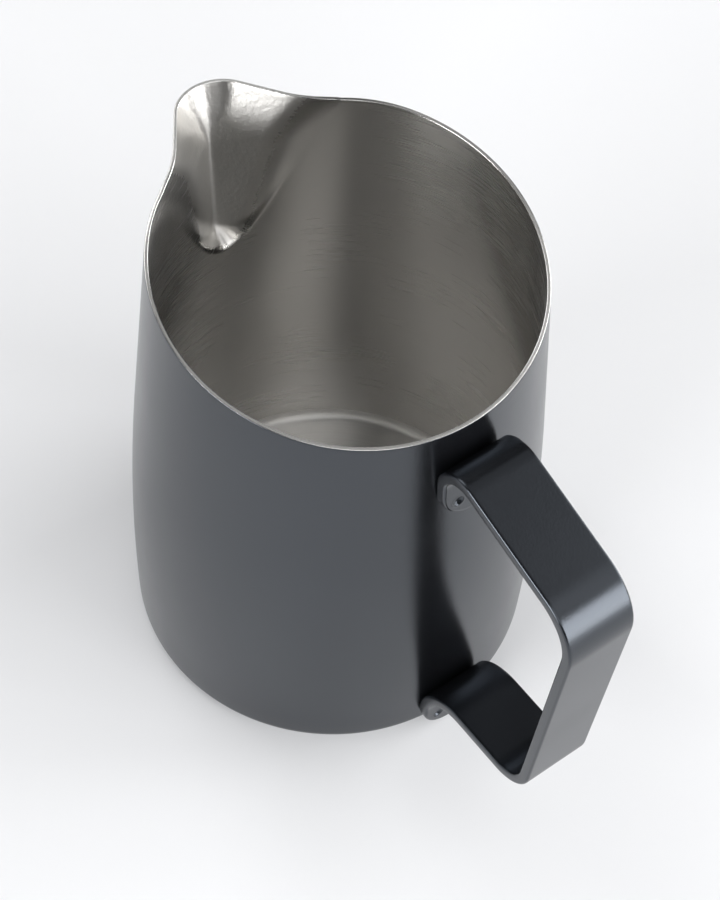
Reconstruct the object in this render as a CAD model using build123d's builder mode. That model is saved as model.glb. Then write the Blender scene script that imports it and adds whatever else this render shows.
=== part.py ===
"""Milk frothing pitcher, about 0.6 litre.

A thin deep-drawn steel vessel with a pressed pouring spout, and a bent flat
strap that makes the handle.  The strap ends in two flanges that lie on the
vessel wall, and two spot welds hold each flange.

Millimetres.  The origin is the centre of the flat base, on the table.
+Z is up, +X points to the handle and -X to the spout.
"""

import os
from math import cos, radians, sin, tan

from build123d import *

# --- Vessel wall ---------------------------------------------------------
WALL = 0.8                 # sheet thickness of the vessel
BELLY_RADIUS = 44.8        # widest outside radius
BELLY_HEIGHT = 22.0        # height where the wall is widest
BELLY_CURVE = 650.0        # radius of the gentle curve up the wall
NECK_TAPER = 4.3           # degrees, slope of the straight upper wall
BASE_CORNER = 3.5          # outside radius between base and wall

# --- Mouth ---------------------------------------------------------------
MOUTH_HEIGHT = 115.2       # rim height on the axis
MOUTH_SLOPE = 9.0          # degrees, the rim rises towards the spout
TURN_FROM_AXIS = 29.0      # the rim's slope turns into the level lip here
TURN_ROUND = 60.0          # radius of that turn

# --- Spout ---------------------------------------------------------------
LIP_OUT = 13.4             # lip tip beyond the round wall
LIP_RISE = 3.2             # lip tip above the rim height on the axis
LIP_ROUND = 9.5            # outside radius of the lip tip, seen from above
LIP_HALF_ANGLE = 34.0      # degrees, between the lip's flank and its middle
THROAT_OUT = 8.0           # spout beyond the round wall, at the throat
THROAT_BELOW_LIP = 14.0    # the lip begins to flare out this far below its tip
TOE_OUT = 4.7              # spout beyond the round wall, just above its toe
TOE_TALL = 4.0             # height of the blunt toe
TOE_BELOW_LIP = 41.4       # the toe's lowest point is this far below the lip
KEEL_ROUND = 2.4           # outside radius along the spout's middle
KEEL_HALF_ANGLE = 50.0     # degrees, between the spout's flank and its middle
SPOUT_ROOT_IN = 10.0       # the spout's wedge runs this far inside the round wall

# --- Handle strap --------------------------------------------------------
STRAP_WIDTH = 16.0
STRAP_THICK = 2.6
STRAP_EDGE = 0.5           # rounding of the strap's long edges
GRIP_OUT_TOP = 37.6        # upper outer bend beyond the belly
GRIP_OUT_LOW = 32.6        # lower outer bend beyond the belly
ARM_BELOW_MOUTH = 10.2     # upper arm at the wall, below the rim height
ARM_FALL = 11.4            # how far the upper arm falls to its outer bend
ARM_LOW_HEIGHT = 21.0      # lower arm at the wall
ARM_LOW_RISE = 1.7         # how far the lower arm rises to its outer bend
BEND_TOP_INNER = 8.0       # radii of the middle of the strap
BEND_TOP_OUTER = 11.5
BEND_LOW_OUTER = 8.8
BEND_LOW_INNER = 12.0
FLANGE_LENGTH = 20.2       # from the middle of the arm to the flange's end
FLANGE_SEAT = 0.35         # the flange's back is pressed hollow by this much

# --- Spot welds ----------------------------------------------------------
WELD_DIAMETER = 3.6        # weld nugget between strap and wall
WELD_INTO_WALL = 0.4
WELD_INTO_STRAP = 0.8
WELD_SPACING = 8.8         # between the two welds of one flange
WELD_FROM_END = 5.0        # from the flange's end up to the line of welds
MARK_DIAMETER = 3.2        # electrode mark on the flange's open face
MARK_DEPTH = 0.6
MARK_TAPER = 30.0          # degrees, slope of the mark's side

# --- Worked out from the values above ------------------------------------
taper = radians(NECK_TAPER)
slope = tan(radians(MOUTH_SLOPE))
curve_top = BELLY_HEIGHT + BELLY_CURVE * sin(taper)
curve_top_radius = BELLY_RADIUS - BELLY_CURVE * (1 - cos(taper))


def wall_radius(height):
    """Outside radius of the round wall at a height above its base corner."""
    if height < curve_top:
        rise = height - BELLY_HEIGHT
        return BELLY_RADIUS - BELLY_CURVE + (BELLY_CURVE**2 - rise**2) ** 0.5
    return curve_top_radius - (height - curve_top) * tan(taper)


lip_height = MOUTH_HEIGHT + LIP_RISE
lip_reach = wall_radius(lip_height) + LIP_OUT
throat_height = lip_height - THROAT_BELOW_LIP
toe_height = lip_height - TOE_BELOW_LIP
above_mouth = MOUTH_HEIGHT + slope * BELLY_RADIUS + 5
beyond = BELLY_RADIUS + GRIP_OUT_TOP + STRAP_WIDTH

arm_top = MOUTH_HEIGHT - ARM_BELOW_MOUTH
grip_top = arm_top - ARM_FALL
grip_low = ARM_LOW_HEIGHT + ARM_LOW_RISE
flange_ends = [arm_top - FLANGE_LENGTH, ARM_LOW_HEIGHT - FLANGE_LENGTH]
weld_heights = [end + WELD_FROM_END for end in flange_ends]


def round_form(inset):
    """Solid of revolution in the shape of the round wall, moved in by inset."""
    foot = wall_radius(0) - inset
    middle = wall_radius(curve_top / 2) - inset
    shoulder = curve_top_radius - inset
    neck = wall_radius(above_mouth) - inset
    with BuildPart() as form:
        with BuildSketch(Plane.XZ) as half:
            with BuildLine():
                Line((0, inset), (foot, inset))
                ThreePointArc((foot, inset), (middle, curve_top / 2), (shoulder, curve_top))
                Line((shoulder, curve_top), (neck, above_mouth))
                Polyline((neck, above_mouth), (0, above_mouth), (0, inset))
            make_face()
            corner = half.vertices().group_by(Axis.Y)[0].sort_by(Axis.X)[-1]
            fillet(corner, BASE_CORNER - inset)
        revolve(axis=Axis.Z)
    return form.part


def spout_section(height, reach, nose, half_degrees, inset):
    """Wedge with a round nose, seen from above, that ends inside the vessel."""
    root_x = wall_radius(lip_height) - SPOUT_ROOT_IN
    half_angle = radians(half_degrees)
    centre = reach - nose
    tip = reach - inset
    side_x = centre + (nose - inset) * sin(half_angle)
    side_y = (nose - inset) * cos(half_angle)
    root_y = side_y + (side_x - root_x) * tan(half_angle)
    with BuildSketch(Plane.XY.offset(height)) as section:
        with BuildLine():
            ThreePointArc((-side_x, -side_y), (-tip, 0), (-side_x, side_y))
            Polyline(
                (-side_x, side_y),
                (-root_x, root_y),
                (-root_x, -root_y),
                (-side_x, -side_y),
            )
        make_face()
    return section.sketch


def spout_form(inset):
    """The pressed spout as a wedge with a blunt toe, moved in by inset."""
    toe = toe_height + inset
    shoulder = toe_height + TOE_TALL
    toe_reach = wall_radius(toe)
    shoulder_reach = wall_radius(shoulder) + TOE_OUT
    throat_reach = wall_radius(throat_height) + THROAT_OUT
    flare = (lip_reach - throat_reach) / THROAT_BELOW_LIP
    top_reach = lip_reach + flare * (above_mouth - lip_height)
    with BuildPart() as form:
        loft(
            [
                spout_section(toe, toe_reach, KEEL_ROUND, KEEL_HALF_ANGLE, inset),
                spout_section(shoulder, shoulder_reach, KEEL_ROUND, KEEL_HALF_ANGLE, inset),
                spout_section(throat_height, throat_reach, KEEL_ROUND, KEEL_HALF_ANGLE, inset),
                spout_section(lip_height, lip_reach, LIP_ROUND, LIP_HALF_ANGLE, inset),
                spout_section(above_mouth, top_reach, LIP_ROUND, LIP_HALF_ANGLE, inset),
            ],
            ruled=True,
        )
    return form.part


def over_mouth():
    """Everything above the rim: it slopes up to the spout, then runs level."""
    turn_height = MOUTH_HEIGHT + slope * TURN_FROM_AXIS
    level = (turn_height - lip_height) / (lip_reach - TURN_FROM_AXIS)
    with BuildPart() as cutter:
        with BuildSketch(Plane.XZ):
            with BuildLine():
                rim = FilletPolyline(
                    (beyond, MOUTH_HEIGHT - slope * beyond),
                    (-TURN_FROM_AXIS, turn_height),
                    (-beyond, turn_height - level * (beyond - TURN_FROM_AXIS)),
                    radius=TURN_ROUND,
                )
                Polyline(rim @ 1, (-beyond, 2 * above_mouth), (beyond, 2 * above_mouth), rim @ 0)
            make_face()
        extrude(amount=beyond, both=True)
    return cutter.part


def strap_point(height):
    """Middle of the strap where it lies on the wall, seen from the side."""
    return (wall_radius(height) + STRAP_THICK / 2 - FLANGE_SEAT, height)


def flange_plane(height):
    """Plane on a flange's open face, with its z axis pointing outwards."""
    reach = wall_radius(height) + STRAP_THICK - FLANGE_SEAT
    return Plane(origin=(reach, 0, height), x_dir=(0, 1, 0), z_dir=(1, 0, 0))


def weld_nuggets(height):
    """The two lens-thin cylinders of fused steel behind one flange."""
    with BuildPart() as nuggets:
        with BuildSketch(Plane.YZ.offset(BELLY_RADIUS / 2)):
            with Locations((-WELD_SPACING / 2, height), (WELD_SPACING / 2, height)):
                Circle(WELD_DIAMETER / 2)
        extrude(amount=BELLY_RADIUS)
        add(strap_side, mode=Mode.INTERSECT)
        add(wall_side, mode=Mode.SUBTRACT)
    return nuggets.part


# --- Plain forms that the pieces are cut from ----------------------------
outer_round = round_form(0)
outer_spout = spout_form(0)
inner_round = round_form(WALL)
inner_spout = spout_form(WALL)
mouth_cutter = over_mouth()
strap_side = round_form(-WELD_INTO_STRAP)
wall_side = round_form(WELD_INTO_WALL)

# --- Spot welds ----------------------------------------------------------
welds = {
    "upper_spot_welds": weld_nuggets(weld_heights[0]),
    "lower_spot_welds": weld_nuggets(weld_heights[1]),
}

# --- Vessel --------------------------------------------------------------
with BuildPart() as vessel_body:
    add(outer_round)
    add(outer_spout)
    add(inner_round, mode=Mode.SUBTRACT)
    add(inner_spout, mode=Mode.SUBTRACT)
    add(mouth_cutter, mode=Mode.SUBTRACT)
    for weld in welds.values():
        add(weld, mode=Mode.SUBTRACT)
vessel_body.part.label = "vessel_body"

# --- Handle strap --------------------------------------------------------
with BuildPart() as handle_strap:
    with BuildLine(Plane.XZ) as middle_line:
        FilletPolyline(
            strap_point(flange_ends[0]),
            strap_point(arm_top),
            (BELLY_RADIUS + GRIP_OUT_TOP, grip_top),
            (BELLY_RADIUS + GRIP_OUT_LOW, grip_low),
            strap_point(ARM_LOW_HEIGHT),
            strap_point(flange_ends[1]),
            radius=[BEND_TOP_INNER, BEND_TOP_OUTER, BEND_LOW_OUTER, BEND_LOW_INNER],
        )
    start = Plane(
        origin=middle_line.line @ 0, x_dir=(0, 1, 0), z_dir=middle_line.line % 0
    )
    with BuildSketch(start):
        RectangleRounded(STRAP_WIDTH, STRAP_THICK, STRAP_EDGE)
    sweep(path=middle_line.line)
    # each flange ends in a full half circle
    for end in flange_ends:
        with BuildSketch(flange_plane(end)):
            Rectangle(2 * STRAP_WIDTH, STRAP_WIDTH)
            with Locations((0, STRAP_WIDTH / 2)):
                Circle(STRAP_WIDTH / 2, mode=Mode.SUBTRACT)
        extrude(amount=2 * STRAP_THICK, both=True, mode=Mode.SUBTRACT)
    # the backs of the flanges take the wall's round shape
    add(outer_round, mode=Mode.SUBTRACT)
    # round electrode marks, one over each weld
    for height in weld_heights:
        with BuildSketch(flange_plane(height)):
            with Locations((-WELD_SPACING / 2, 0), (WELD_SPACING / 2, 0)):
                Circle(MARK_DIAMETER / 2)
        extrude(amount=-MARK_DEPTH, taper=MARK_TAPER, mode=Mode.SUBTRACT)
    for weld in welds.values():
        add(weld, mode=Mode.SUBTRACT)
handle_strap.part.label = "handle_strap"

# --- Write the pieces ----------------------------------------------------
os.makedirs("parts", exist_ok=True)
export_step(vessel_body.part, "parts/vessel_body.step")
export_step(handle_strap.part, "parts/handle_strap.step")
for name, weld in welds.items():
    weld.label = name
    export_step(weld, f"parts/{name}.step")
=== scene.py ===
"""Looks of the milk frothing pitcher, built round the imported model.

Metres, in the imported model's frame: the origin is the centre of the flat base
on the table, +Z is up, the handle points to +X and the spout to -X.
"""

from math import atan2, cos, pi, radians, sin, tan

import bpy
import numpy as np
from mathutils import Matrix, Vector


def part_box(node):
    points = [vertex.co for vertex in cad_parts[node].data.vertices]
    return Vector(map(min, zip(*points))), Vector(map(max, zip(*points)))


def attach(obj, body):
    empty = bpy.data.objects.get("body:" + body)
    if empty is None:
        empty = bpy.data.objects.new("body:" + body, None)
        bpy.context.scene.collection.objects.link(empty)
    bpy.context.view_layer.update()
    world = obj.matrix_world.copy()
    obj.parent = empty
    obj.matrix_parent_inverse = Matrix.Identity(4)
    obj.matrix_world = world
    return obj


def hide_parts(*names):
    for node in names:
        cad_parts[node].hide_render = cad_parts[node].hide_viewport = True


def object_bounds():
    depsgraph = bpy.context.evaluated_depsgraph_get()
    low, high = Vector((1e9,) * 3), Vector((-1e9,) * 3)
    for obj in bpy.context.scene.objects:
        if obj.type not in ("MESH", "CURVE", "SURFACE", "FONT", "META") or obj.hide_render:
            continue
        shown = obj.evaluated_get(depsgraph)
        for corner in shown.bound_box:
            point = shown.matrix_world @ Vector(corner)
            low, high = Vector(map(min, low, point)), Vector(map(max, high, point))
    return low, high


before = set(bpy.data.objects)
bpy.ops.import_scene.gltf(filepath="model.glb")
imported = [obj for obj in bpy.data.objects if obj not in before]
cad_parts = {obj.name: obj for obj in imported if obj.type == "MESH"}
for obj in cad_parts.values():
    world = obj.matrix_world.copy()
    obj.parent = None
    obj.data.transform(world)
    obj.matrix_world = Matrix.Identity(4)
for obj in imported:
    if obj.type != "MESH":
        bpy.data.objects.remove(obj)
cad_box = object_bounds()
vessel_low, vessel_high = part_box("vessel_body")
strap_low, strap_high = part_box("handle_strap")

MM = 0.001

# --- Vessel wall ---------------------------------------------------------
WALL = 0.8 * MM                   # sheet thickness
BELLY_HEIGHT = 22 * MM            # where the wall is widest
BELLY_CURVE = 650 * MM            # radius of the gentle curve up the wall
TAPER = radians(4.3)              # slope of the straight upper wall
BASE_CORNER = 3.5 * MM            # outside radius between base and wall
belly_radius = vessel_high.x
curve_top = BELLY_HEIGHT + BELLY_CURVE * sin(TAPER)

# --- Mouth ---------------------------------------------------------------
MOUTH_HEIGHT = 115.2 * MM         # rim height on the axis
MOUTH_SLOPE = tan(radians(9))     # the rim rises towards the spout
TURN_FROM_AXIS = 29 * MM          # the rim's slope turns into the level lip here
TURN_BLEND = 1.4 * MM             # how softly it turns
RIM_EDGE = 0.18 * MM              # rounding of the ground rim's two edges

# --- Spout ---------------------------------------------------------------
LIP_RISE = 3.2 * MM               # lip tip above the rim height on the axis
LIP_ROUND = 9.5 * MM              # radius of the lip tip, seen from above
LIP_HALF_ANGLE = radians(34)
LIP_BLEND = 3.8 * MM              # how softly the lip's flanks leave the round wall
THROAT_OUT = 8.0 * MM
THROAT_BELOW_LIP = 14 * MM        # the lip begins to flare out this far below its tip
TOE_OUT = 4.5 * MM                # depth of the spout just above its blunt toe
TOE_BELOW_LIP = 41.9 * MM
TOE_STEEP = 1.9                   # the toe's floor runs out this much for each unit up
TOE_ROUND = 3.6 * MM              # radius of the toe's arch, seen from the front
TOE_SIDE = 3.0                    # slope of the arch far up its sides
TOE_BLEND = 3 * MM                # how softly the toe's floor turns into the keel
KEEL_ROUND = 2.0 * MM             # radius along the spout's middle
KEEL_HALF_ANGLE = radians(50)
KEEL_BLEND = 1.8 * MM
lip_height = MOUTH_HEIGHT + LIP_RISE
lip_reach = -vessel_low.x
throat_height = lip_height - THROAT_BELOW_LIP
toe_height = lip_height - TOE_BELOW_LIP

# --- Handle strap --------------------------------------------------------
STRAP_THICK = 2.6 * MM
STRAP_EDGE = 0.55 * MM            # rounding of the strap's edges
ARM_BELOW_MOUTH = 10.2 * MM       # upper arm at the wall, below the rim height
ARM_FALL = 11.4 * MM              # how far the upper arm falls to its outer bend
ARM_LOW_HEIGHT = 21 * MM          # lower arm at the wall
ARM_LOW_RISE = 1.7 * MM
GRIP_LEAN = 5 * MM                # the grip's lower bend is this much nearer the wall
GRIP_OUT = 37.6 * MM              # upper outer bend beyond the belly
# radii of the middle of the strap, from the upper flange to the lower one
BENDS = [6.5 * MM, 11.5 * MM, 8.8 * MM, 12 * MM]
FLANGE_LENGTH = 20.2 * MM         # from the middle of the arm to the flange's end
FLANGE_SEAT = 0.35 * MM           # the flange's back is pressed hollow by this much
SEAT_LENGTH = 8 * MM              # the hollow has its full depth up to here from the end
SEAT_FADE = 5 * MM                # and fades out over this length, into the bend
strap_half = (strap_high.y - strap_low.y) / 2

# --- Spot welds ----------------------------------------------------------
WELD_SPACING = 8.8 * MM
WELD_FROM_END = 5 * MM
MARK_RADIUS = 1.25 * MM
MARK_DEPTH = 0.6 * MM
MARK_LIP = 0.05 * MM              # metal pushed up round the electrode mark
# as shares of the mark's radius
MARK_FLAT = 0.55                  # the mark's flat bottom
MARK_SIDE = 0.5                   # its sloping side
MARK_LIP_AT = 1.15                # the top of the pushed-up lip
MARK_LIP_SPREAD = 0.14

# --- Mesh fineness -------------------------------------------------------
SPOUT_ZONE = radians(42)          # finer columns this far either side of the spout
SPOUT_STEP = radians(0.5)
ROUND_STEP = radians(1.5)
BASE_SHARES = (0.15, 0.4, 0.7, 0.9)     # rings of the flat base, as shares of its radius
CORNER_RINGS = 8                  # rings round the base corner
BELLY_ROWS = 18                   # level rows from the base corner to the first band
# bands of level rows near the toe: where each starts, measured from the toe, and its rows
TOE_BANDS = [(-5 * MM, 5), (-2 * MM, 32), (6 * MM, 9)]
EVEN_TOP = 88 * MM                # rows are level up to here, and follow the rim above
RIM_ROWS = 36                     # rows from there to the rim
RIM_RINGS = 4                     # rings round each of the rim's two edges
RIM_PASSES = 8                    # the rim's height and radius settle after these passes
FLANGE_STEP = 0.25 * MM
STRAP_STEP = 0.8 * MM
EDGE_RINGS = 6                    # rings round each of the strap's edges
ROUTE_STEP = 0.05 * MM


# === Shape of the vessel =================================================
def smooth_step(x):
    x = np.clip(x, 0, 1)
    return x * x * (3 - 2 * x)


def smooth_max(a, b, blend):
    """The larger of a and b, with a round corner where they cross."""
    near = np.maximum(blend - np.abs(a - b), 0)
    return np.maximum(a, b) + near**2 / (4 * blend)


def wall_radius(height):
    """Outside radius of the round wall."""
    rise = np.minimum(height, curve_top) - BELLY_HEIGHT
    curved = belly_radius - BELLY_CURVE + np.sqrt(BELLY_CURVE**2 - rise**2)
    return curved - np.maximum(height - curve_top, 0) * tan(TAPER)


def spout_depth(height):
    """How far the spout's middle stands beyond the round wall, above its toe."""
    lean = (THROAT_OUT - TOE_OUT) / (throat_height - toe_height)
    lip_out = lip_reach - wall_radius(lip_height)
    flare = lip_out - TOE_OUT - lean * (lip_height - toe_height)
    top = np.maximum((height - throat_height) / THROAT_BELOW_LIP, 0)
    return TOE_OUT + lean * (height - toe_height) + flare * top**2


def vessel_radius(angle, height, inset):
    """Radius of the vessel's surface, moved in by inset, at an angle from the spout."""
    angle = np.abs(angle)
    wall = wall_radius(height)
    up = smooth_step((height - throat_height) / THROAT_BELOW_LIP)
    nose = KEEL_ROUND + (LIP_ROUND - KEEL_ROUND) * up
    half_angle = KEEL_HALF_ANGLE + (LIP_HALF_ANGLE - KEEL_HALF_ANGLE) * up
    blend = KEEL_BLEND + (LIP_BLEND - KEEL_BLEND) * up
    # the wedge: a round nose between two flat flanks
    centre = wall + spout_depth(height) - nose
    tip = nose - inset
    leave_nose = np.arctan2(tip * np.cos(half_angle), centre + tip * np.sin(half_angle))
    in_nose = np.minimum(angle, leave_nose)
    nose_radius = centre * np.cos(in_nose) + np.sqrt(tip**2 - (centre * np.sin(in_nose)) ** 2)
    flank_turn = np.clip(half_angle + angle, 0, pi / 2)
    flank_radius = (centre * np.sin(half_angle) + tip) / np.sin(flank_turn)
    wedge = np.where(angle < leave_nose, nose_radius, flank_radius)
    # the toe: a floor that closes the wedge below in a round arch
    aside = wall * angle
    crown = TOE_ROUND * TOE_SIDE**2
    arch = toe_height + np.sqrt(crown**2 + (TOE_SIDE * aside) ** 2) - crown
    toe = wall + TOE_STEEP * (height - arch) - inset * (1 + TOE_STEEP**2) ** 0.5
    spout = -smooth_max(-wedge, -toe, TOE_BLEND)
    return smooth_max(spout, wall - inset, blend)


def rim_height(angle, inset):
    """Height of the rim: it slopes up to the spout, then runs nearly level."""
    turn_height = MOUTH_HEIGHT + MOUTH_SLOPE * TURN_FROM_AXIS
    level = (turn_height - lip_height) / (lip_reach - TURN_FROM_AXIS)
    height = np.full_like(angle, MOUTH_HEIGHT)
    for _ in range(RIM_PASSES):
        x = -vessel_radius(angle, height, inset) * np.cos(angle)
        sloping = MOUTH_HEIGHT - MOUTH_SLOPE * x
        lip = turn_height + level * (x + TURN_FROM_AXIS)
        height = -smooth_max(-sloping, -lip, TURN_BLEND)
    return height


def vessel_columns():
    """Angles from the spout, finer round the spout than elsewhere."""
    fine = np.arange(-SPOUT_ZONE, SPOUT_ZONE, SPOUT_STEP)
    count = round((2 * pi - 2 * SPOUT_ZONE) / ROUND_STEP)
    coarse = np.linspace(SPOUT_ZONE, 2 * pi - SPOUT_ZONE, count, endpoint=False)
    return np.concatenate([fine, coarse])


def wall_rows(columns, inset):
    """Heights of the rows up one side of the wall, from the base corner to the rim."""
    heights = [BASE_CORNER] + [toe_height + away for away, _ in TOE_BANDS] + [EVEN_TOP]
    counts = [BELLY_ROWS] + [count for _, count in TOE_BANDS]
    rows = []
    for low, high, count in zip(heights, heights[1:], counts):
        for height in np.linspace(low, high, count, endpoint=False):
            rows.append(np.full_like(columns, height))
    top = rim_height(columns, inset) - RIM_EDGE
    rows += [EVEN_TOP + share * (top - EVEN_TOP) for share in np.linspace(0, 1, RIM_ROWS)]
    return rows


def side_rings(columns, inset):
    """Rings of one side of the sheet: base, round corner, wall and half the rim."""

    def ring(radius, height):
        points = np.empty((len(columns), 3))
        points[:, 0] = -radius * np.cos(columns)
        points[:, 1] = radius * np.sin(columns)
        points[:, 2] = height
        return points

    corner = BASE_CORNER - inset
    corner_centre = float(wall_radius(BASE_CORNER)) - BASE_CORNER
    rings = [ring(share * corner_centre, inset) for share in BASE_SHARES]
    for turn in np.linspace(0, pi / 2, CORNER_RINGS + 1)[:-1]:
        rings.append(ring(corner_centre + corner * sin(turn), BASE_CORNER - corner * cos(turn)))
    for height in wall_rows(columns, inset):
        rings.append(ring(vessel_radius(columns, height, inset), height))
    inward = 1 if inset == 0 else -1
    top = rim_height(columns, inset)
    for turn in np.linspace(0, pi / 2, RIM_RINGS + 1)[1:]:
        height = top - RIM_EDGE * (1 - sin(turn))
        radius = vessel_radius(columns, height, inset) - inward * RIM_EDGE * (1 - cos(turn))
        rings.append(ring(radius, height))
    return rings


def add_object(name, points, faces, materials, face_materials):
    mesh = bpy.data.meshes.new(name)
    mesh.from_pydata([tuple(p) for p in points], [], faces)
    for material in materials:
        mesh.materials.append(material)
    mesh.polygons.foreach_set("material_index", face_materials)
    mesh.shade_smooth()
    mesh.update()
    thing = bpy.data.objects.new(name, mesh)
    bpy.context.scene.collection.objects.link(thing)
    return thing


def build_vessel(outside, rim, inside, floor):
    """The drawn sheet as one closed shell, from the base's middle up, over and down."""
    columns = vessel_columns()
    outer = side_rings(columns, 0)
    inner = side_rings(columns, WALL)
    rings = outer + inner[::-1]
    count = len(columns)
    points = np.concatenate(rings + [[(0, 0, 0)], [(0, 0, WALL)]])
    base_middle = len(points) - 2
    floor_middle = len(points) - 1
    faces = []
    face_materials = []
    # the ring where each material starts: outside, rim, inside and floor
    half_rim = RIM_RINGS - 1
    floor_start = len(rings) - len(BASE_SHARES) - CORNER_RINGS
    starts = [0, len(outer) - half_rim, len(outer) + half_rim, floor_start]
    for row in range(len(rings) - 1):
        material = sum(row >= start for start in starts) - 1
        for k in range(count):
            beside = (k + 1) % count
            faces.append(
                (
                    row * count + k,
                    row * count + beside,
                    (row + 1) * count + beside,
                    (row + 1) * count + k,
                )
            )
            face_materials.append(material)
    last = (len(rings) - 1) * count
    for k in range(count):
        beside = (k + 1) % count
        faces.append((base_middle, beside, k))
        faces.append((floor_middle, last + k, last + beside))
        face_materials += [0, 3]
    materials = [outside, rim, inside, floor]
    return add_object("vessel", points, faces, materials, face_materials)


# === Shape of the handle strap ===========================================
def strap_middle(height):
    """Middle of the strap where it lies on the wall, seen from the side."""
    return Vector((float(wall_radius(height)) + STRAP_THICK / 2 - FLANGE_SEAT, height))


def strap_route():
    """Corners of the strap's middle line, from the upper flange's end to the lower's."""
    arm_top = MOUTH_HEIGHT - ARM_BELOW_MOUTH
    grip_top = belly_radius + GRIP_OUT
    return [
        strap_middle(arm_top - FLANGE_LENGTH),
        strap_middle(arm_top),
        Vector((grip_top, arm_top - ARM_FALL)),
        Vector((grip_top - GRIP_LEAN, ARM_LOW_HEIGHT + ARM_LOW_RISE)),
        strap_middle(ARM_LOW_HEIGHT),
        strap_middle(ARM_LOW_HEIGHT - FLANGE_LENGTH),
    ]


def heading_left(heading):
    """Unit vector to the left of a heading in the side view."""
    return Vector((-sin(heading), cos(heading)))


def trace_route(corners, radii):
    """Closely spaced points and headings along straight runs joined by arcs."""
    points = []
    headings = []
    start = corners[0]
    heading = 0
    for before, corner, after, radius in zip(corners, corners[1:], corners[2:], radii):
        into = (corner - before).normalized()
        turn = -into.angle_signed((after - corner).normalized())
        heading = atan2(into.y, into.x)
        end = corner - into * radius * tan(abs(turn) / 2)
        for share in np.linspace(0, 1, int((end - start).length / ROUTE_STEP), endpoint=False):
            points.append(start.lerp(end, share))
            headings.append(heading)
        out = radius if turn > 0 else -radius
        centre = end + out * heading_left(heading)
        for share in np.linspace(0, 1, int(abs(radius * turn) / ROUTE_STEP), endpoint=False):
            points.append(centre - out * heading_left(heading + share * turn))
            headings.append(heading + share * turn)
        heading += turn
        start = centre - out * heading_left(heading)
    for share in np.linspace(0, 1, int((corners[-1] - start).length / ROUTE_STEP)):
        points.append(start.lerp(corners[-1], share))
        headings.append(heading)
    return np.array(points), np.unwrap(headings)


class StrapSurface:
    """Turns places on the unrolled strap into points of the bent one."""

    def __init__(self):
        self.route, self.headings = trace_route(strap_route(), BENDS)
        steps = np.linalg.norm(np.diff(self.route, axis=0), axis=1)
        self.along = np.concatenate([[0], np.cumsum(steps)])
        self.length = self.along[-1]

    def marks(self, from_end, across):
        """Depth of the round electrode marks, with the metal pushed up round each."""
        aside = np.abs(across) - WELD_SPACING / 2
        away = np.hypot(from_end - WELD_FROM_END, aside) / MARK_RADIUS
        bowl = 1 - smooth_step((away - MARK_FLAT) / MARK_SIDE)
        lip = np.exp(-(((away - MARK_LIP_AT) / MARK_LIP_SPREAD) ** 2))
        return MARK_DEPTH * bowl - MARK_LIP * lip

    def points(self, along, across, offset):
        """offset is measured from the middle of the strap, to the right of its route."""
        x, z = (np.interp(along, self.along, self.route[:, axis]) for axis in (0, 1))
        heading = np.interp(along, self.along, self.headings)
        x = x + offset * np.sin(heading)
        z = z - offset * np.cos(heading)
        # the backs of the flanges are pressed to the wall's round shape, and the
        # electrode marks are on the open faces alone
        upper = along < self.length / 2
        from_end = np.where(upper, along, self.length - along)
        open_side = np.where(upper, offset, -offset) / STRAP_THICK + 0.5
        seat = 1 - smooth_step((from_end - SEAT_LENGTH) / SEAT_FADE)
        hollow = np.maximum(FLANGE_SEAT - across**2 / (2 * belly_radius), 0)
        x += seat * hollow * (1 - open_side)
        x -= np.where(open_side > 0.999, self.marks(from_end, across), 0)
        return np.stack([x, across, z], axis=-1)


def build_strap(coat):
    """A flat strap with full round ends, bent into a handle."""
    surface = StrapSurface()
    end_rows = round(strap_half / FLANGE_STEP)
    end_share = np.linspace(-1, 0, end_rows, endpoint=False)
    middle = np.arange(strap_half, surface.length - strap_half, STRAP_STEP)
    # a row's share is -1 at the route's start, 0 along the straight sides and 1 at its end
    share = np.concatenate([end_share, 0 * middle, -end_share[::-1]])[:, None]
    base = np.concatenate(
        [
            np.full(end_rows, strap_half),
            middle,
            np.full(end_rows, surface.length - strap_half),
        ]
    )[:, None]
    cross = np.linspace(-1, 1, 2 * end_rows + 1)[None, :]

    def sheet(inset, offset):
        half = strap_half - inset
        along = base + half * share * np.sqrt(1 - cross**2 / 2)
        across = half * cross * np.sqrt(1 - share**2 / 2)
        return surface.points(along, across, offset)

    rows = len(base)
    columns = cross.shape[1]
    edge = [(0, k) for k in range(columns)]
    edge += [(k, columns - 1) for k in range(1, rows)]
    edge += [(rows - 1, k) for k in range(columns - 2, -1, -1)]
    edge += [(k, 0) for k in range(rows - 2, 0, -1)]

    half_thick = STRAP_THICK / 2
    turns = np.linspace(0, pi / 2, EDGE_RINGS)
    profile = [(STRAP_EDGE * (1 - sin(t)), half_thick - STRAP_EDGE * (1 - cos(t))) for t in turns]
    profile += [(inset, -offset) for inset, offset in profile[::-1]]
    right = sheet(*profile[0])
    left = sheet(*profile[-1])
    points = [right.reshape(-1, 3), left.reshape(-1, 3)]
    loops = [[row * columns + column for row, column in edge]]
    for inset, offset in profile[1:-1]:
        grid = sheet(inset, offset)
        first = sum(len(block) for block in points)
        points.append(np.array([grid[place] for place in edge]))
        loops.append(list(range(first, first + len(edge))))
    loops.append([rows * columns + k for k in loops[0]])

    faces = []
    for row in range(rows - 1):
        for column in range(columns - 1):
            k = row * columns + column
            faces.append((k, k + 1, k + columns + 1, k + columns))
            k += rows * columns
            faces.append((k, k + columns, k + columns + 1, k + 1))
    for near, far in zip(loops, loops[1:]):
        for k in range(len(edge)):
            beside = (k + 1) % len(edge)
            faces.append((near[k], far[k], far[beside], near[beside]))
    return add_object("strap", np.concatenate(points), faces, [coat], [0] * len(faces))


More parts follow.
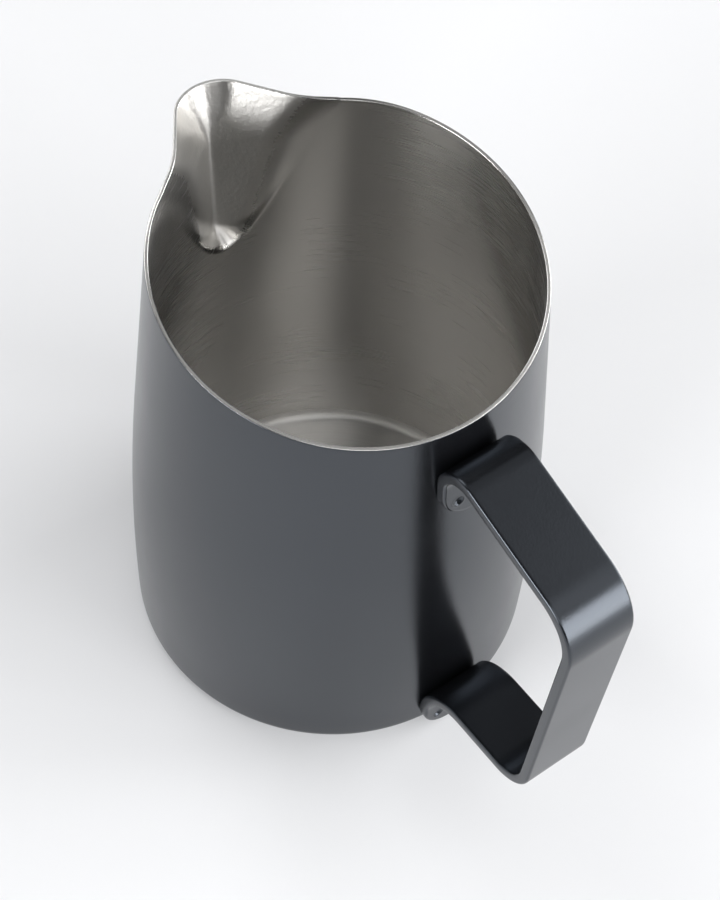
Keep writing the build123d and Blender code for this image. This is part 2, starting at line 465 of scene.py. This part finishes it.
# === Materials ===========================================================
BRUSH_BREAKS = 1.6                # features along the brush lines, for each radian
BRUSH_COARSER = 6                 # the coarse lines are this much wider than the fine ones
STRETCH_FADE = 2 * MM             # the spout's rough skin sets in over this depth
STRETCH_ROUGHNESS = 0.14          # added in the spout


def new_material(name):
    """A material, a function that adds a node to it and one that sets its surface."""
    material = bpy.data.materials.new(name)
    material.use_nodes = True
    tree = material.node_tree

    def node(kind, inputs=None, **settings):
        made = tree.nodes.new("ShaderNode" + kind)
        for key, value in settings.items():
            setattr(made, key, value)
        for key, value in (inputs or {}).items():
            if isinstance(value, bpy.types.NodeSocket):
                tree.links.new(value, made.inputs[key])
            else:
                made.inputs[key].default_value = value
        return made

    def surface(**inputs):
        shader = tree.nodes["Principled BSDF"]
        for key, value in inputs.items():
            socket = shader.inputs[key.replace("_", " ")]
            if isinstance(value, bpy.types.NodeSocket):
                tree.links.new(value, socket)
            else:
                socket.default_value = value

    return material, node, surface


def between(node, value, low, high):
    """value, which runs about 0.3 to 0.7 as noise does, spread from low to high."""
    spread = node(
        "MapRange",
        {"Value": value, "From Min": 0.3, "From Max": 0.7, "To Min": low, "To Max": high},
    )
    return spread.outputs["Result"]


def two_tone(node, value, dark, light):
    """A colour that wanders between dark and light as value does."""
    mix = node("Mix", {"Factor": between(node, value, 0, 1)}, data_type="RGBA")
    mix.inputs["A"].default_value = (*dark, 1)
    mix.inputs["B"].default_value = (*light, 1)
    return mix.outputs["Result"]


def multiply(node, a, b):
    return node("Math", {0: a, 1: b}, operation="MULTIPLY").outputs["Value"]


def noise(node, place, scale, detail):
    """Noise from 0 to 1, with about this many features in each unit of place."""
    return node("TexNoise", {"Vector": place, "Scale": scale, "Detail": detail}).outputs["Fac"]


def bump(node, height, strength, depth, under=None):
    """Normals of a surface that is pushed out by height, on top of the bumps under it."""
    inputs = {"Height": height, "Strength": strength, "Distance": depth}
    if under is not None:
        inputs["Normal"] = under
    return node("Bump", inputs).outputs["Normal"]


def satin_coat():
    """Black powder coat: smooth, with a faint orange peel and fine grain."""
    material, node, surface = new_material("satin_coat")
    place = node("TexCoord").outputs["Object"]
    cloud = noise(node, place, 35, 3)
    peel = bump(node, noise(node, place, 700, 2), 0.25, 0.02 * MM)
    grain = bump(node, noise(node, place, 2600, 3), 0.6, 0.03 * MM, under=peel)
    surface(
        Base_Color=two_tone(node, cloud, (0.0040, 0.0042, 0.0050), (0.0055, 0.0058, 0.0068)),
        Roughness=between(node, cloud, 0.21, 0.26),
        IOR=1.66,
        Specular_Tint=(0.79, 0.875, 1.0, 1),
        Normal=grain,
    )
    return material


def stretched_share(node, height, reach):
    """0 on the round wall and 1 in the spout, where the sheet was stretched."""
    upright = node("Math", {0: height, 1: tan(TAPER), 2: reach}, operation="MULTIPLY_ADD")
    wall_upright = float(wall_radius(throat_height)) + throat_height * tan(TAPER)
    share = node(
        "MapRange",
        {
            "Value": upright.outputs["Value"],
            "From Min": wall_upright,
            "From Max": wall_upright + STRETCH_FADE,
        },
    )
    return share.outputs["Result"]


def brush_lines(node, angle, across, per_metre):
    """Noise drawn out round the vessel's axis into lines."""
    drawn_out = node(
        "CombineXYZ",
        {"X": multiply(node, angle, BRUSH_BREAKS), "Y": multiply(node, across, per_metre)},
    )
    return noise(node, drawn_out.outputs["Vector"], 1, 3)


def brushed_steel(name, colour, roughness, lines):
    """Bare steel brushed round the vessel's axis, with so many fine lines to the metre."""
    material, node, surface = new_material(name)
    place = node("TexCoord").outputs["Object"]
    split = node("SeparateXYZ", {"Vector": place}).outputs
    angle = node("Math", {0: split["Y"], 1: split["X"]}, operation="ARCTAN2").outputs["Value"]
    flat = node("CombineXYZ", {"X": split["X"], "Y": split["Y"]}).outputs["Vector"]
    reach = node("VectorMath", {0: flat}, operation="LENGTH").outputs["Value"]
    # lines follow each other up the wall by height, and across the floor by reach
    low = node("Math", {0: split["Z"], 1: BASE_CORNER}, operation="LESS_THAN").outputs["Value"]
    across = node("Math", {0: reach, 1: low, 2: split["Z"]}, operation="MULTIPLY_ADD")
    fine = brush_lines(node, angle, across.outputs["Value"], lines)
    coarse = brush_lines(node, angle, across.outputs["Value"], lines / BRUSH_COARSER)
    # the stretched sheet of the spout is mottled and rougher
    stretched = stretched_share(node, split["Z"], reach)
    mottle = multiply(node, noise(node, place, 900, 3), stretched)
    skin = bump(node, mottle, 0.6, 0.15 * MM)
    skin = bump(node, coarse, 0.1, 0.012 * MM, under=skin)
    skin = bump(node, fine, 0.35, 0.006 * MM, under=skin)
    cloud = noise(node, place, 45, 3)
    blotch = node("Math", {0: fine, 1: cloud}, operation="ADD").outputs["Value"]
    blotch = multiply(node, blotch, 0.5)
    even = between(node, blotch, 0.85 * roughness, 1.15 * roughness)
    rough = node("Math", {0: stretched, 1: STRETCH_ROUGHNESS, 2: even}, operation="MULTIPLY_ADD")
    tangent = node("Tangent", direction_type="RADIAL", axis="Z")
    surface(
        Base_Color=two_tone(node, blotch, tuple(0.9 * part for part in colour), colour),
        Metallic=1,
        Roughness=rough.outputs["Value"],
        Anisotropic=0.8,
        # the lines run along the tangent, so they spread the light at right angles to it
        Anisotropic_Rotation=0.25,
        Normal=skin,
        Tangent=tangent.outputs["Tangent"],
    )
    return material


def table_top():
    """Pale matt surface that the pitcher stands on."""
    material, node, surface = new_material("table_top")
    place = node("TexCoord").outputs["Object"]
    cloud = noise(node, place, 6, 2)
    surface(
        Base_Color=two_tone(node, cloud, (0.845, 0.85, 0.865), (0.855, 0.86, 0.875)),
        Roughness=0.75,
    )
    return material


# === Build ===============================================================
coat = satin_coat()
vessel = build_vessel(
    coat,
    brushed_steel("ground_rim", (0.86, 0.85, 0.83), 0.24, 2500),
    brushed_steel("brushed_inside", (0.62, 0.609, 0.589), 0.26, 2200),
    # the floor's steel is painted much lighter than the wall's: painted light on the floor
    # inside, on top of its rougher spun finish
    brushed_steel("spun_floor_painted_light", (0.95, 0.94, 0.92), 0.42, 1600),
)
strap = build_strap(coat)
for piece, node_name, slot_name in (
    (vessel, "vessel_body", "bare_steel"),
    (strap, "handle_strap", "satin_coat"),
):
    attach(piece, "root")
    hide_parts(node_name)

fused_metal = brushed_steel("fused_metal", (0.45, 0.43, 0.41), 0.4, 1500)
for node_name in ("upper_spot_welds", "lower_spot_welds"):
    for material_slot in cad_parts[node_name].material_slots:
        material_slot.material = fused_metal

# === Studio ==============================================================
FLOOR_HALF = 4
AIM_BACK = 7.4 * MM               # the camera aims this far nearer the spout than mid-length
CAMERA_AZIMUTH = radians(50)
CAMERA_ELEVATION = radians(56.15)
CAMERA_ROLL = radians(-4.27)
CAMERA_DISTANCE = 0.497
CAMERA_LENS = 93.75
SOFTBOX_SIZE = 0.9
SOFTBOX_DISTANCE = 1.4
WORLD_STRENGTH = 0.005
# azimuth and elevation in degrees, and power in watts
SOFTBOXES = [
    (5, 12, 22.5),
    (115, 12, 18.5),
    (165, 12, 16.5),
    (230, 12, 2.4),
    (320, 12, 2.6),
    (72, 45, 5.5),
    (140, 45, 3.0),
    (275, 45, 6.8),
    (185, 70, 1.0),
]

cad_middle = (cad_box[0] + cad_box[1]) / 2
aim = cad_middle - Vector((AIM_BACK, 0, 0))


def direction(azimuth, elevation):
    """Unit vector towards a place seen from the pitcher, azimuth turning from -Y towards +X."""
    return Vector(
        (
            sin(azimuth) * cos(elevation),
            -cos(azimuth) * cos(elevation),
            sin(elevation),
        )
    )


def add_camera():
    data = bpy.data.cameras.new("camera")
    data.lens = CAMERA_LENS
    data.clip_start = 0.01
    data.clip_end = 50
    camera = bpy.data.objects.new("camera", data)
    bpy.context.scene.collection.objects.link(camera)
    back = direction(CAMERA_AZIMUTH, CAMERA_ELEVATION)
    right = Vector((cos(CAMERA_AZIMUTH), sin(CAMERA_AZIMUTH), 0))
    up = back.cross(right)
    rolled_right = right * cos(CAMERA_ROLL) - up * sin(CAMERA_ROLL)
    rolled_up = right * sin(CAMERA_ROLL) + up * cos(CAMERA_ROLL)
    turn = Matrix((rolled_right, rolled_up, back)).transposed()
    camera.matrix_world = Matrix.Translation(aim + CAMERA_DISTANCE * back) @ turn.to_4x4()
    bpy.context.scene.camera = camera


def add_softbox(azimuth, elevation, power):
    name = f"softbox_{azimuth}_{elevation}"
    data = bpy.data.lights.new(name, "AREA")
    data.size = SOFTBOX_SIZE
    data.energy = power
    light = bpy.data.objects.new(name, data)
    bpy.context.scene.collection.objects.link(light)
    towards = direction(radians(azimuth), radians(elevation))
    light.location = aim + SOFTBOX_DISTANCE * towards
    light.rotation_euler = towards.to_track_quat("Z", "Y").to_euler()


def add_floor():
    mesh = bpy.data.meshes.new("floor")
    edge = FLOOR_HALF
    mesh.from_pydata(
        [(-edge, -edge, 0), (edge, -edge, 0), (edge, edge, 0), (-edge, edge, 0)],
        [],
        [(0, 1, 2, 3)],
    )
    mesh.materials.append(table_top())
    floor = bpy.data.objects.new("floor", mesh)
    bpy.context.scene.collection.objects.link(floor)


def light_world(colour, strength):
    world = bpy.data.worlds.new("studio")
    world.use_nodes = True
    background = world.node_tree.nodes["Background"]
    background.inputs["Color"].default_value = (*colour, 1)
    background.inputs["Strength"].default_value = strength
    bpy.context.scene.world = world


add_camera()
add_floor()
light_world((1, 1, 1), WORLD_STRENGTH)
for azimuth, elevation, power in SOFTBOXES:
    add_softbox(azimuth, elevation, power)
bpy.context.scene.view_settings.view_transform = "Standard"
